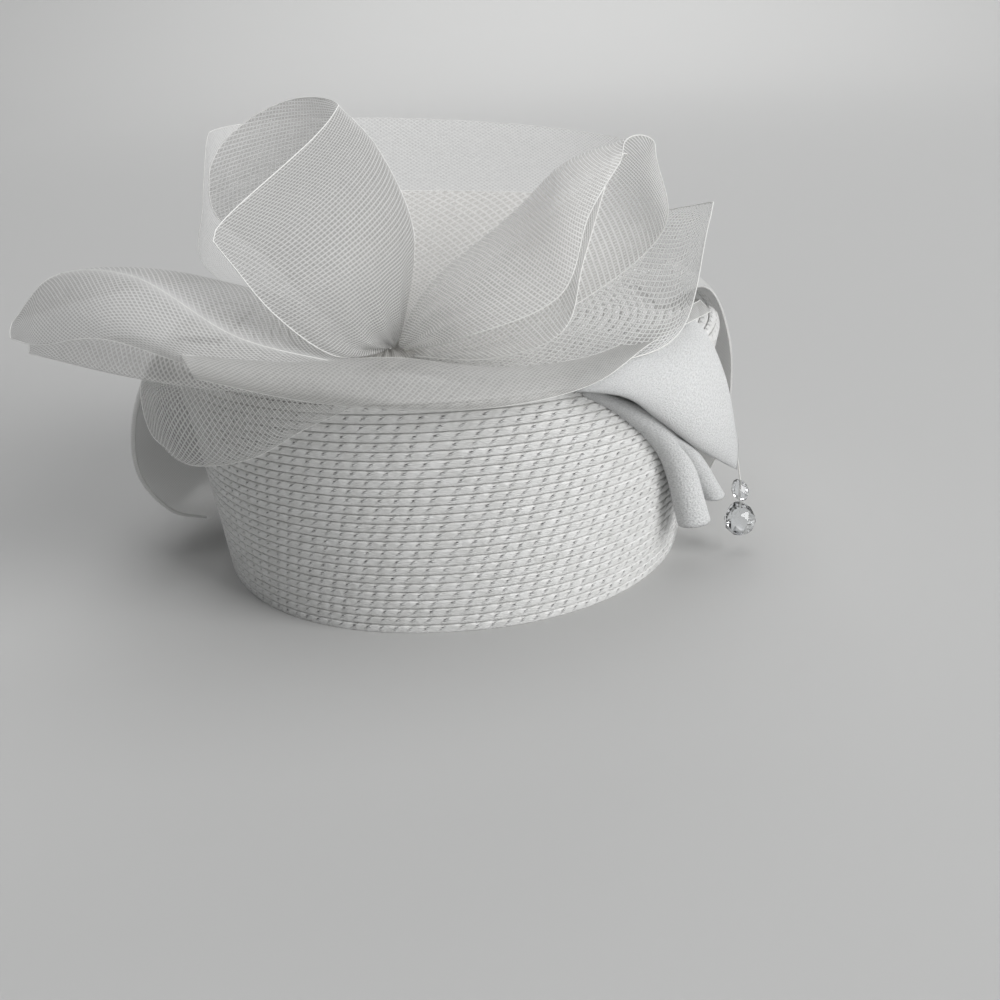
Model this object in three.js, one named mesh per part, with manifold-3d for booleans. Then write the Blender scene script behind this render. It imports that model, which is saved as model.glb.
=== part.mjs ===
// Church hat: a straw-braid pillbox crown with a wide crinoline bow, a crepe drape and a clear drop.
// Millimetres, +Z up. X runs to the hat's right as seen from the front, and the front is at -Y.
// Each cloth piece is one wall, lofted through a few elliptical sections from a short table.
import * as THREE from 'three';
import Module from 'manifold-3d';
import { mergeVertices } from 'three/addons/utils/BufferGeometryUtils.js';

const wasm = await Module();
wasm.setup();

// ---- driving dimensions ----
const GAP = 0.3;               // left between hard neighbours that touch
const CLOTH_GAP = 0.4;         // left round a ply that another one meets
const CLOTH = 1.2;             // wall of a crinoline, crepe or organza ply

const CROWN_HEIGHT = 80;
const CROWN_WALL = 2.5;
const CROWN_EDGE = 4;          // round of the top edge
const CROWN_HALF_WIDTH = 84;   // at the rim, along X
const CROWN_HALF_DEPTH = 97;   // at the rim, along Y
const CROWN_SQUARENESS = 2.15; // 2 is an ellipse
const CROWN_LEAN = 0.03;       // sideways shift of the wall for each mm of height
const FLARE_WIDTH = 0.138;     // growth of the half width for each mm of height
const FLARE_DEPTH = 0.126;
const FLARE_CURVE = 0.00038;   // growth for each mm of height squared

const TIE = { x: -13.5, y: -72, radius: 5.5, bottom: CROWN_HEIGHT + GAP, top: 89 };

const DROP = { x: 100, y: -48.7 };
const PIN = { radius: 0.5, bottom: 16.6, top: 37 };
const BEAD = { middle: 23.4, half_height: 3.7, radius: 2.7, bore: PIN.radius + GAP };
const CRYSTAL = { bottom: 6.6, top: 19.3, radius: 5.4, bore_bottom: PIN.bottom - GAP };

// ---- cloth tables ----
// A row is one section of a strip. The section is an arc of an ellipse: `middle` is its vertex, `bow` runs
// from there to the ellipse's centre, and `half` from the centre to its widest place, towards the front,
// the right or the hem. `wrap` is the arc's angle, and `crease` how sharply the vertex is pressed, 0 to 1.
// Strips with on_crown give the middle as [turn, height, out]: degrees from +X, and distance off the wall.
const CLOTHS = {
  petal_upper_left: {
    slot: 'crinoline',
    along: 14,
    across: 14,
    crease: 0.3,
    columns: ['middle', 'half', 'bow'],
    rows: [
      [[-12, -71, 87], [1, -3, 0], [-2, -1, 0]],
      [[-8, -66, 98], [4, -20, -2], [-24, -6, -6]],
      [[-4, -62, 120], [6, -32, -3], [-45, -6, -12]],
      [[-14, -52, 145], [8, -32, -3], [-48, -14, -22]],
      [[-25, -45, 157], [2, -32, -11], [-40, -15, -15]],
    ],
  },
  petal_upper_right: {
    slot: 'crinoline',
    along: 14,
    across: 14,
    wrap: 230,
    columns: ['middle', 'half', 'bow'],
    rows: [
      [[-11, -71, 87], [0, -3, 1], [1, -2, -1]],
      [[0, -60, 102], [-2, -18, 6], [8, -15, -9]],
      [[25, -51, 120], [-6, -24, 6], [13, -18, -14]],
      [[49, -49, 136], [-15, -21, 6], [9, -12, -11]],
      [[66, -56, 144], [-6, -10, 1], [0, -4, -3]],
    ],
  },
  petal_upper_right_ply: {
    slot: 'crinoline',
    along: 12,
    across: 4,
    columns: ['middle', 'half', 'bow'],
    rows: [
      [[-11, -74, 85], [0, -2, 0], [0, 0, 0]],
      [[12, -78, 92], [7, -14, -5], [0, 2, -1]],
      [[35, -76, 106], [5, -19, -10], [-1, 2, -2]],
      [[50, -68, 122], [-3, -18, -9], [-1, 1, -1]],
      [[60, -60, 139], [-3, -6, 0], [0, 0, -1]],
    ],
  },
  petal_right: {
    slot: 'crinoline',
    along: 12,
    across: 6,
    columns: ['middle', 'half', 'bow'],
    rows: [
      [[-10, -72, 82], [0, -2, 0], [0, 0, 0]],
      [[15, -68, 83], [3, -28, -2], [0, -2, 1]],
      [[45, -60, 89], [2, -34, -9], [0, 0, 3]],
      [[72, -57, 100], [1, -25, -14], [1, 2, 1]],
      [[89, -54, 120], [-1, -3, -2], [0, 0, 0]],
    ],
  },
  petal_left: {
    slot: 'crinoline',
    along: 14,
    across: 12,
    crease: 0.3,
    columns: ['middle', 'half', 'bow'],
    rows: [
      [[-26, -94, 88], [-2, -12, 0], [0, 4, -1]],
      [[-54, -100, 99], [-9, -22, -4], [6, 10, -3]],
      [[-86, -86, 116], [-9, -27, -2], [3, 9, -12]],
      [[-112, -77, 115], [-5, -18, -3], [3, 1, -13]],
      [[-123, -84, 104], [-1, -4, -2], [1, 0, -2]],
    ],
  },
  petal_left_ply: {
    slot: 'crinoline',
    along: 10,
    across: 4,
    columns: ['middle', 'half', 'bow'],
    rows: [
      [[-32, -96, 81.2], [0, -4, 0], [0, 0, 0]],
      [[-62, -104, 90], [-1, -3, -5], [1, 4, 0]],
      [[-90, -97, 94], [-2, -2, -5], [1, 4, 0]],
      [[-119, -86, 96], [0, -1, -1], [0, 0, 0]],
    ],
  },
  ribbon_front: {
    slot: 'crinoline',
    along: 16,
    across: 7,
    columns: ['middle', 'half', 'bow'],
    rows: [
      [[-66, -116, 96], [2, -2, -3], [0, 2, -1]],
      [[-38, -115, 91], [2, -6, -4], [0, 5, -3]],
      [[-10, -115, 88], [2, -17, -3], [0, 12, -4]],
      [[20, -114, 86], [1, -9, -3], [0, 4, -3]],
      [[45, -101, 84], [1, -7, -2], [0, 2, -1]],
      [[66, -76, 86], [1, -5, 0], [0, 0, 0]],
      [[86, -60, 91], [1, -4, -1], [0, 0, 0]],
    ],
  },
  petal_lower_left: {
    slot: 'crinoline',
    along: 12,
    across: 6,
    on_crown: true,
    columns: ['middle', 'half', 'bow'],
    rows: [
      [[-102, 82, 2], [0, -4, -1], [0, 0, 0]],
      [[-113, 79, 4], [1, -5, -6], [2, 3, 0]],
      [[-126, 73, 8], [3, -6, -11], [3, 3, 0]],
      [[-140, 68, 14], [3, -5, -12], [3, 2, 0]],
      [[-155, 66, 14], [2, -5, -10], [3, 1, 0]],
    ],
  },
  petal_back_low: {
    slot: 'crinoline',
    along: 10,
    across: 8,
    columns: ['middle', 'half', 'bow'],
    rows: [
      [[-13, -69, 86], [2, 0, 0], [0, 0, 0]],
      [[-10, -46, 89], [6, 0, 0], [0, -4, 0]],
      [[-3, -20, 98], [25, 0, -4], [0, -9, -1]],
      [[10, 6, 122], [42, 0, -3], [2, -12, 0]],
    ],
  },
  petal_back_high: {
    slot: 'crinoline',
    along: 10,
    across: 14,
    columns: ['middle', 'half', 'bow'],
    rows: [
      [[-2, -6, 79], [32, 0, 0], [0, -14, 0]],
      [[-5, 24, 97], [78, 0, -4], [0, -24, 2]],
      [[-5, 38, 119], [81, 2, -4], [4, -28, -1]],
      [[-5, 48, 144], [79, 3, -7], [5, -30, -6]],
    ],
  },
  drape_panel: {
    slot: 'crepe',
    along: 12,
    across: 8,
    on_crown: true,
    columns: ['middle', 'half', 'bow'],
    rows: [
      [[-66, 82, -2], [-5, -10, -1], [0, 2, -1]],
      [[-52, 82, -1], [-8, -20, -4], [-1, 4, -2]],
      [[-41, 76, 3], [-9, -22, -9], [-4, 7, -2]],
      [[-31, 58, 9], [-6, -14, -9], [-3, 4, -1]],
      [[-23, 36, 16], [-1, -4, -3], [0, 0, 0]],
    ],
  },
  drape_pleat_inner: {
    slot: 'crepe',
    along: 12,
    across: 6,
    on_crown: true,
    columns: ['middle', 'half', 'bow'],
    rows: [
      [[-66, 78, 2], [2, 0, 0], [0, 1, -1]],
      [[-55, 67, 4], [4, 2, 0], [-1, 3, -1]],
      [[-42, 47, 7], [4, 3, 0], [-2, 4, -1]],
      [[-34, 18, 13], [5, 3, 0], [-2, 4, 0]],
    ],
  },
  drape_pleat_outer: {
    slot: 'crepe',
    along: 10,
    across: 6,
    on_crown: true,
    columns: ['middle', 'half', 'bow'],
    rows: [
      [[-50, 60, 4], [3, 2, 0], [-1, 2, -1]],
      [[-40, 47, 8], [4, 3, -1], [-2, 4, 0]],
      [[-28, 24, 15], [3, 3, 0], [-2, 3, 0]],
    ],
  },
  organza_left: {
    slot: 'organza',
    along: 14,
    across: 6,
    on_crown: true,
    columns: ['middle', 'half', 'bow'],
    rows: [
      [[180, 81, -22], [2, 24, 0], [0, 0, 0]],
      [[180, 82, -2], [2, 26, 0], [4, 0, 0]],
      [[180, 58, 18], [3, 26, 1], [6, 0, 2]],
      [[180, 32, 24], [4, 25, 1], [6, 0, 3]],
      [[180, 15, 16], [3, 24, 0], [4, 0, 4]],
      [[180, 11, 2], [2, 23, 0], [0, 0, 4]],
    ],
  },
  organza_right: {
    slot: 'organza',
    along: 14,
    across: 6,
    on_crown: true,
    columns: ['middle', 'half', 'bow'],
    rows: [
      [[4, 81, -24], [-2, 22, 0], [0, 0, 0]],
      [[4, 87, -6], [-2, 24, 0], [-2, 0, 0]],
      [[4, 68, 6], [-2, 24, 0], [-3, 0, 0]],
      [[4, 36, 12], [-2, 24, 0], [-3, 0, 1]],
      [[4, 16, 8], [-2, 23, 0], [-2, 0, 2]],
      [[4, 13, 1], [-1, 22, 0], [0, 0, 3]],
    ],
  },
};

const FINISH = {
  braid: { color: 0xeeeeea, roughness: 0.4, metalness: 0 },
  crinoline: { color: 0xe6e6e2, roughness: 0.45, metalness: 0 },
  crepe: { color: 0xf0f0ec, roughness: 0.75, metalness: 0 },
  organza: { color: 0xdadada, roughness: 0.35, metalness: 0 },
  crystal: { color: 0xe8edf0, roughness: 0.05, metalness: 0 },
  thread: { color: 0xdcdcd8, roughness: 0.6, metalness: 0 },
};

// ---- solids ----
function toManifold(geometry) {
  const bare = geometry.clone();
  bare.deleteAttribute('normal');
  bare.deleteAttribute('uv');
  const merged = mergeVertices(bare, 1e-4);
  return new wasm.Manifold(new wasm.Mesh({
    numProp: 3,
    vertProperties: new Float32Array(merged.attributes.position.array),
    triVerts: new Uint32Array(merged.index.array),
  }));
}

function fromManifold(solid) {
  const mesh = solid.getMesh();
  const geometry = new THREE.BufferGeometry();
  geometry.setAttribute('position', new THREE.BufferAttribute(new Float32Array(mesh.vertProperties), 3));
  geometry.setIndex(new THREE.BufferAttribute(new Uint32Array(mesh.triVerts), 1));
  geometry.computeVertexNormals();
  return geometry;
}

// A cut can leave crumbs, and the largest body is the piece.
function largestBody(solid) {
  const bodies = solid.decompose();
  return bodies.reduce((best, body) => (body.volume() > best.volume() ? body : best));
}

function closedSurface(points, faces) {
  const geometry = new THREE.BufferGeometry();
  geometry.setAttribute('position', new THREE.Float32BufferAttribute(points.flatMap((p) => p.toArray()), 3));
  geometry.setIndex(faces.flat());
  return geometry;
}

// ---- crown: rings of one outline, up the outside, over the top and down the inside ----
function crownSpot(degrees, z, inset, height = z) {
  const halfWidth = CROWN_HALF_WIDTH + FLARE_WIDTH * z + FLARE_CURVE * z * z - inset;
  const halfDepth = CROWN_HALF_DEPTH + FLARE_DEPTH * z + FLARE_CURVE * z * z - inset;
  const power = 2 / CROWN_SQUARENESS;
  const c = Math.cos(THREE.MathUtils.degToRad(degrees));
  const s = Math.sin(THREE.MathUtils.degToRad(degrees));
  return new THREE.Vector3(
    CROWN_LEAN * z + halfWidth * Math.sign(c) * Math.abs(c) ** power,
    halfDepth * Math.sign(s) * Math.abs(s) ** power,
    height,
  );
}

function crownRing(z, inset, height = z) {
  const sides = 64;
  return Array.from({ length: sides }, (_, i) => crownSpot((360 * i) / sides, z, inset, height));
}

function crownGeometry(grow = 0) {
  const wallLevels = [0, 16, 32, 48, 64, CROWN_HEIGHT - CROWN_EDGE];
  const edgeAngles = [30, 60, 90];
  const topInsets = [34, 64];
  const rings = [];
  const side = (wall, sign) => {
    const levels = wallLevels.map((z) => crownRing(Math.min(z, CROWN_HEIGHT - CROWN_EDGE), wall));
    if (sign < 0) levels.reverse();
    return levels;
  };
  const top = (wall, drop) => [
    ...edgeAngles.map((degrees) => {
      const angle = THREE.MathUtils.degToRad(degrees);
      const rise = (CROWN_EDGE - drop) * Math.sin(angle);
      const inward = wall + (CROWN_EDGE - drop) * (1 - Math.cos(angle));
      return crownRing(CROWN_HEIGHT - CROWN_EDGE, inward, CROWN_HEIGHT - CROWN_EDGE + rise);
    }),
    ...topInsets.map((inset) => crownRing(CROWN_HEIGHT - CROWN_EDGE, inset, CROWN_HEIGHT - drop)),
  ];
  rings.push(...side(-grow, 1), ...top(-grow, -grow));
  const outerTop = rings.length;
  rings.push(...top(CROWN_WALL + grow, CROWN_WALL + grow).reverse(), ...side(CROWN_WALL + grow, -1));
  const sides = rings[0].length;
  const middle = CROWN_LEAN * CROWN_HEIGHT;
  const points = rings.flat();
  const outerPole = points.push(new THREE.Vector3(middle, 0, CROWN_HEIGHT + grow)) - 1;
  const innerPole = points.push(new THREE.Vector3(middle, 0, CROWN_HEIGHT - CROWN_WALL - grow)) - 1;
  const faces = [];
  for (let ring = 0; ring < rings.length; ring += 1) {
    const next = (ring + 1) % rings.length;
    for (let i = 0; i < sides; i += 1) {
      const j = (i + 1) % sides;
      if (ring === outerTop - 1) {
        faces.push([ring * sides + i, ring * sides + j, outerPole]);
        faces.push([next * sides + j, next * sides + i, innerPole]);
      } else {
        faces.push([ring * sides + i, ring * sides + j, next * sides + j]);
        faces.push([ring * sides + i, next * sides + j, next * sides + i]);
      }
    }
  }
  return closedSurface(points, faces);
}

// ---- cloth: a grid of points through the sections, thickened both ways along its normals ----
function middleOf(place, onCrown) {
  if (!onCrown) return new THREE.Vector3(...place);
  const [turn, height, out] = place;
  return crownSpot(turn, Math.min(height, CROWN_HEIGHT), -out, height);
}

// side runs from 1 at the front, right or hem edge to -1 at the other
function sectionPoint([middle, half, bow], side, { wrap = 180, crease = 0, on_crown: onCrown }) {
  const angle = (side * THREE.MathUtils.degToRad(wrap)) / 2;
  const across = THREE.MathUtils.lerp(Math.sin(angle), side, crease);
  const inward = THREE.MathUtils.lerp(1 - Math.cos(angle), Math.abs(side), crease);
  return middleOf(middle, onCrown)
    .addScaledVector(new THREE.Vector3(...half), across)
    .addScaledVector(new THREE.Vector3(...bow), inward);
}

function clothGrid(cloth) {
  const { rows, along, across } = cloth;
  const columns = Array.from({ length: across + 1 }, (_, c) => {
    const points = rows.map((row) => sectionPoint(row, 1 - (2 * c) / across, cloth));
    const curve = new THREE.CatmullRomCurve3(points, false, 'centripetal');
    return Array.from({ length: along + 1 }, (_, i) => curve.getPoint(i / along));
  });
  return columns[0].map((_, r) => columns.map((column) => column[r]));
}

function widened(grid, grow) {
  const stretch = (line) => {
    const last = line.length - 1;
    const first = line[0].clone().sub(line[1]).setLength(grow).add(line[0]);
    const end = line[last].clone().sub(line[last - 1]).setLength(grow).add(line[last]);
    return [first, ...line.slice(1, last), end];
  };
  const rows = grid.map(stretch);
  const columns = rows[0].map((_, c) => stretch(rows.map((row) => row[c])));
  return columns[0].map((_, r) => columns.map((column) => column[r]));
}

function clothGeometry(cloth, grow = 0) {
  const grid = grow > 0 ? widened(clothGrid(cloth), grow) : clothGrid(cloth);
  const half = CLOTH / 2 + grow;
  const rows = grid.length;
  const columns = grid[0].length;
  const at = (r, c) => grid[THREE.MathUtils.clamp(r, 0, rows - 1)][THREE.MathUtils.clamp(c, 0, columns - 1)];
  const normals = grid.map((row, r) => row.map((_, c) => {
    const down = at(r + 1, c).clone().sub(at(r - 1, c));
    const over = at(r, c + 1).clone().sub(at(r, c - 1));
    return down.cross(over).normalize();
  }));
  const points = [];
  for (const side of [half, -half]) {
    const shifted = (p, r, c) => p.clone().addScaledVector(normals[r][c], side);
    grid.forEach((row, r) => row.forEach((p, c) => points.push(shifted(p, r, c))));
  }
  const top = (r, c) => r * columns + c;
  const under = (r, c) => rows * columns + top(r, c);
  const faces = [];
  const quad = (a, b, c, d) => faces.push([a, b, c], [a, c, d]);
  for (let r = 0; r < rows - 1; r += 1) {
    for (let c = 0; c < columns - 1; c += 1) {
      quad(top(r, c), top(r + 1, c), top(r + 1, c + 1), top(r, c + 1));
      quad(under(r, c), under(r, c + 1), under(r + 1, c + 1), under(r + 1, c));
    }
    const last = columns - 1;
    quad(top(r, 0), under(r, 0), under(r + 1, 0), top(r + 1, 0));
    quad(top(r, last), top(r + 1, last), under(r + 1, last), under(r, last));
  }
  for (let c = 0; c < columns - 1; c += 1) {
    const last = rows - 1;
    quad(top(0, c), top(0, c + 1), under(0, c + 1), under(0, c));
    quad(top(last, c), under(last, c), under(last, c + 1), top(last, c + 1));
  }
  return closedSurface(points, faces);
}

// ---- tie, pin, bead and crystal: turned about an upright axis ----
function turned(profile, sides, x, y) {
  const geometry = new THREE.LatheGeometry(profile.map(([r, z]) => new THREE.Vector2(r, z)), sides);
  return geometry.rotateX(Math.PI / 2).translate(x, y, 0);
}

function tieGeometry(grow = 0) {
  const { x, y, radius, bottom, top } = TIE;
  const r = radius + grow;
  const shoulder = 2;
  const profile = [[0, bottom], [r, bottom], [r, top - shoulder], [r - shoulder, top + grow], [0, top + grow]];
  return turned(profile, 24, x, y);
}

function pinGeometry() {
  const profile = [[0, PIN.bottom], [PIN.radius, PIN.bottom], [PIN.radius, PIN.top], [0, PIN.top]];
  return turned(profile, 12, DROP.x, DROP.y);
}

function beadGeometry() {
  const { middle, half_height: half, radius, bore } = BEAD;
  return turned([
    [bore, middle - half],
    [radius * 0.55, middle - half],
    [radius * 0.92, middle - half * 0.45],
    [radius, middle],
    [radius * 0.92, middle + half * 0.45],
    [radius * 0.55, middle + half],
    [bore, middle + half],
    [bore, middle - half],
  ], 10, DROP.x, DROP.y);
}

function crystalGeometry() {
  const { bottom, top, radius, bore_bottom: bore } = CRYSTAL;
  const height = top - bottom;
  return turned([
    [0, bottom],
    [radius * 0.5, bottom + height * 0.06],
    [radius * 0.9, bottom + height * 0.22],
    [radius, bottom + height * 0.4],
    [radius * 0.82, bottom + height * 0.62],
    [radius * 0.42, bottom + height * 0.88],
    [radius * 0.3, top],
    [BEAD.bore, top],
    [BEAD.bore, bore],
    [0, bore],
  ], 12, DROP.x, DROP.y);
}

// ---- assembly: every cloth is cut back from what lies inside it and from the plies before it ----
const hat = new THREE.Group();

function addMesh(name, slot, geometry) {
  const mesh = new THREE.Mesh(geometry, new THREE.MeshStandardMaterial(FINISH[slot]));
  mesh.name = name;
  hat.add(mesh);
}

addMesh('crown', 'braid', crownGeometry());
addMesh('gather_tie', 'thread', tieGeometry());
const taken = [toManifold(crownGeometry(GAP)), toManifold(tieGeometry(GAP))];
for (const [name, cloth] of Object.entries(CLOTHS)) {
  const free = taken.reduce((solid, other) => solid.subtract(other), toManifold(clothGeometry(cloth)));
  addMesh(name, cloth.slot, fromManifold(largestBody(free)));
  taken.push(toManifold(clothGeometry(cloth, CLOTH_GAP)));
}
const freePin = taken.reduce((solid, other) => solid.subtract(other), toManifold(pinGeometry()));
addMesh('drop_pin', 'thread', fromManifold(largestBody(freePin)));
addMesh('drop_bead', 'crystal', beadGeometry());
addMesh('drop_crystal', 'crystal', crystalGeometry());

// The origin is the middle of the hat's footprint, on the surface that the rim rests on.
const box = new THREE.Box3().setFromObject(hat);
hat.position.set(-(box.min.x + box.max.x) / 2, -(box.min.y + box.max.y) / 2, -box.min.z);
hat.updateMatrixWorld(true);

export default hat;
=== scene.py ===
# %% [markdown]
# # A church hat, dressed around its construction
# The hat is a pillbox of sewn straw braid with a wide bow of crinoline on its top, a crepe drape down
# one side, two organza loops and a clear drop. The construction model already has every piece at its
# real size and place. Here each piece gets the surface that the eye sees: plaits, threads, folds, glass.

# %% Load the construction model
import math

import bmesh
import bpy
from mathutils import Matrix, Vector, noise


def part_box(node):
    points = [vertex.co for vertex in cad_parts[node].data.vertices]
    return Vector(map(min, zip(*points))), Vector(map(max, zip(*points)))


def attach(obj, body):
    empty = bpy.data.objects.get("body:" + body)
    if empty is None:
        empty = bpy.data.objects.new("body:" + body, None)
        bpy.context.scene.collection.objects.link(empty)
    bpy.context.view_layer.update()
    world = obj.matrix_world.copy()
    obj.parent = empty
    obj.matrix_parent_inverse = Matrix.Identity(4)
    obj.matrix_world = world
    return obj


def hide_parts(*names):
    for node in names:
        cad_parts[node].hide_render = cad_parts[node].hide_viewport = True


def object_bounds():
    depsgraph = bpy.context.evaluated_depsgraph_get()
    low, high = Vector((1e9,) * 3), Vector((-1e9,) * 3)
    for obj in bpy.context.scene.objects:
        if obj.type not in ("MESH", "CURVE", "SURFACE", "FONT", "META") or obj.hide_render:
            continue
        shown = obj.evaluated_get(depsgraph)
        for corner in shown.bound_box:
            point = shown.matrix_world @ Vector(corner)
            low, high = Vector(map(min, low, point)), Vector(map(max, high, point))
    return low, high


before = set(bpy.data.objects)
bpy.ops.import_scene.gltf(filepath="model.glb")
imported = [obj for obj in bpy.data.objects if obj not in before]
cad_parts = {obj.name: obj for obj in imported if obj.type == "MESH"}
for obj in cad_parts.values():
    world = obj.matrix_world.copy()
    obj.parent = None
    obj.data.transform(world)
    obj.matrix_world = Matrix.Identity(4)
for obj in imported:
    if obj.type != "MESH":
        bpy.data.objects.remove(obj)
cad_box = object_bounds()
print("pieces in the model:", len(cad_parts))

# %% [markdown]
# ## Working in millimetres from the middle of the rim
# Blender counts in metres, but a milliner thinks in millimetres. The hat's tables are written in
# millimetres from the middle of its rim, so one small function turns such a place into Blender's
# metres. The middle is found from the crown's own box: the walls flare and lean sideways as they rise,
# so the widest round is the top one, and the box's middle is off the rim's middle by that lean.

# %% From millimetres to the model's frame
MM = 0.001
CROWN_HEIGHT = 80
CROWN_EDGE = 4
CROWN_WALL = 2.5
CROWN_HALF_WIDTH = 84
CROWN_HALF_DEPTH = 97
CROWN_SQUARENESS = 2.15
CROWN_LEAN = 0.03
FLARE_WIDTH = 0.138
FLARE_DEPTH = 0.126
FLARE_CURVE = 0.00038

crown_low, crown_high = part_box("crown")
WALL_TOP = CROWN_HEIGHT - CROWN_EDGE
RIM = (crown_low + crown_high) / 2
RIM.x -= CROWN_LEAN * WALL_TOP * MM
RIM.z = crown_low.z


def place(x, y, z):
    """A point in millimetres from the middle of the rim, as a point in the model's frame."""
    return RIM + Vector((x, y, z)) * MM


print("middle of the rim:", [round(value / MM, 2) for value in RIM], "mm")

# %% [markdown]
# ## The camera
# The hat is seen from the front, a little from above, from about half a metre away. The camera is
# turned slightly about its own axis, as a hand-held one is. Pitch comes first and roll second, so the
# two rotations are multiplied in that order.

# %% Camera
CAMERA_PLACE = (17.6, -464, 186)
CAMERA_LENS = 46.8
CAMERA_PITCH = 68.8
CAMERA_ROLL = -3.36

camera = bpy.data.objects.new("camera", bpy.data.cameras.new("camera"))
camera.data.lens = CAMERA_LENS
camera.data.sensor_width = 36
camera.data.clip_start = 0.01
pitch = Matrix.Rotation(math.radians(CAMERA_PITCH), 4, "X")
roll = Matrix.Rotation(math.radians(CAMERA_ROLL), 4, "Z")
camera.matrix_world = Matrix.Translation(place(*CAMERA_PLACE)) @ pitch @ roll
bpy.context.collection.objects.link(camera)
bpy.context.scene.camera = camera
print("camera stands", round((camera.location - RIM).length, 3), "m from the rim's middle")

# %% [markdown]
# ## Colours and nodes
# Colours are written as the hex values a paint program shows. The shader wants linear light, so one
# function turns them. A second small function adds a node, sets it and links it in one call, which
# keeps each material below as short as a recipe.


# %% Colour and node helpers
def linear(hex_colour):
    """The linear colour, with alpha 1, of an sRGB hex value."""
    channels = [int(hex_colour[i : i + 2], 16) / 255 for i in (1, 3, 5)]
    return [c / 12.92 if c <= 0.04045 else ((c + 0.055) / 1.055) ** 2.4 for c in channels] + [1]


def add_node(tree, kind, inputs=None, **settings):
    """Adds a node. Each input is another node's output, which is linked, or a plain value."""
    node = tree.nodes.new(kind)
    for name, value in settings.items():
        setattr(node, name, value)
    for socket, value in (inputs or {}).items():
        if isinstance(value, bpy.types.NodeSocket):
            tree.links.new(value, node.inputs[socket])
        else:
            node.inputs[socket].default_value = value
    return node


def new_material(name):
    """An empty node material, and its tree."""
    material = bpy.data.materials.new(name)
    material.use_nodes = True
    material.node_tree.nodes.clear()
    return material, material.node_tree


print("white as linear light:", linear("#ffffff")[:3])

# %% [markdown]
# ## Light
# Shop light is soft: bright ceiling panels, and a stronger one to the right of the hat. The key panel
# stands to the right at the front, not very high, so that it rakes over the straw; a large weak one hangs
# over everything, another lifts the far side of the studio, and a pale world fills the shadows.

# %% Lights
WORLD_COLOUR = "#e9ebee"
WORLD_STRENGTH = 0.33
KEY_POWER = 118
CEILING_POWER = 38
BACK_POWER = 30

scene = bpy.context.scene
scene.view_settings.view_transform = "Standard"
scene.cycles.transparent_max_bounces = 40

world = bpy.data.worlds.new("studio")
scene.world = world
world.use_nodes = True
world.node_tree.nodes["Background"].inputs["Color"].default_value = linear(WORLD_COLOUR)
world.node_tree.nodes["Background"].inputs["Strength"].default_value = WORLD_STRENGTH


def add_panel(name, where, aim, size, power):
    """A square light at a place in metres that faces an aim."""
    lamp = bpy.data.lights.new(name, "AREA")
    lamp.size = size
    lamp.energy = power
    panel = bpy.data.objects.new(name, lamp)
    panel.location = where
    panel.rotation_euler = (Vector(aim) - Vector(where)).to_track_quat("-Z", "Y").to_euler()
    bpy.context.collection.objects.link(panel)


add_panel("key_panel", (2.7, -2.0, 1.7), (0, 0, 0.08), 2.2, KEY_POWER)
add_panel("ceiling_panel", (0, 0.4, 3.4), (0, 0.4, 0), 3.2, CEILING_POWER)
add_panel("back_panel", (0.3, 2.9, 1.9), (0.3, 3.2, 0), 1.8, BACK_POWER)

# %% [markdown]
# ## Floor
# The floor is plain and pale. A flat plane would end in a horizon, so the floor is made as a studio
# cove: a line that runs out flat, turns up through a quarter circle and goes on as a low wall is spun
# once round the hat. It looks the same from every side.

# %% Cove
FLOOR_COLOUR = "#bfbfbe"
FLOOR_REACH = 2.4
COVE_RADIUS = 3.0
COVE_STEPS = 16
WALL_REACH = 0.6
SPIN_STEPS = 48

cove = bmesh.new()
line = [cove.verts.new((0, 0, 0)), cove.verts.new((FLOOR_REACH, 0, 0))]
for step in range(1, COVE_STEPS + 1):
    angle = math.pi / 2 * step / COVE_STEPS
    line.append(cove.verts.new((FLOOR_REACH + COVE_RADIUS * math.sin(angle), 0,
                                COVE_RADIUS * (1 - math.cos(angle)))))
line.append(cove.verts.new((FLOOR_REACH + COVE_RADIUS, 0, COVE_RADIUS + WALL_REACH)))
edges = [cove.edges.new(pair) for pair in zip(line, line[1:])]
bmesh.ops.spin(cove, geom=line + edges, cent=(0, 0, 0), axis=(0, 0, 1), angle=2 * math.pi,
               steps=SPIN_STEPS, use_merge=True)
bmesh.ops.remove_doubles(cove, verts=cove.verts, dist=0.0001)
bmesh.ops.recalc_face_normals(cove, faces=cove.faces)
floor_data = bpy.data.meshes.new("floor")
cove.to_mesh(floor_data)
cove.free()
floor_data.shade_smooth()
floor = bpy.data.objects.new("floor", floor_data)
floor.location.z = cad_box[0].z
bpy.context.collection.objects.link(floor)

floor_paint, tree = new_material("matt_floor_paint")
paint = add_node(tree, "ShaderNodeBsdfPrincipled", {"Base Color": linear(FLOOR_COLOUR), "Roughness": 0.8})
add_node(tree, "ShaderNodeOutputMaterial", {"Surface": paint.outputs["BSDF"]})
floor_data.materials.append(floor_paint)
print("floor faces:", len(floor_data.polygons))

# %% [markdown]
# ## Finishing a piece
# Every piece ends in the same way: the bmesh becomes a mesh object at the origin, gets its material,
# and rides on the hat's one body.


# %% Piece helper
def finish_piece(name, shape, material):
    """Turns a bmesh into a smooth-shaded piece of the hat that rides on its body."""
    data = bpy.data.meshes.new(name)
    shape.to_mesh(data)
    shape.free()
    data.shade_smooth()
    data.materials.append(material)
    piece = bpy.data.objects.new(name, data)
    bpy.context.collection.objects.link(piece)
    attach(piece, "root")
    return piece
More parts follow.
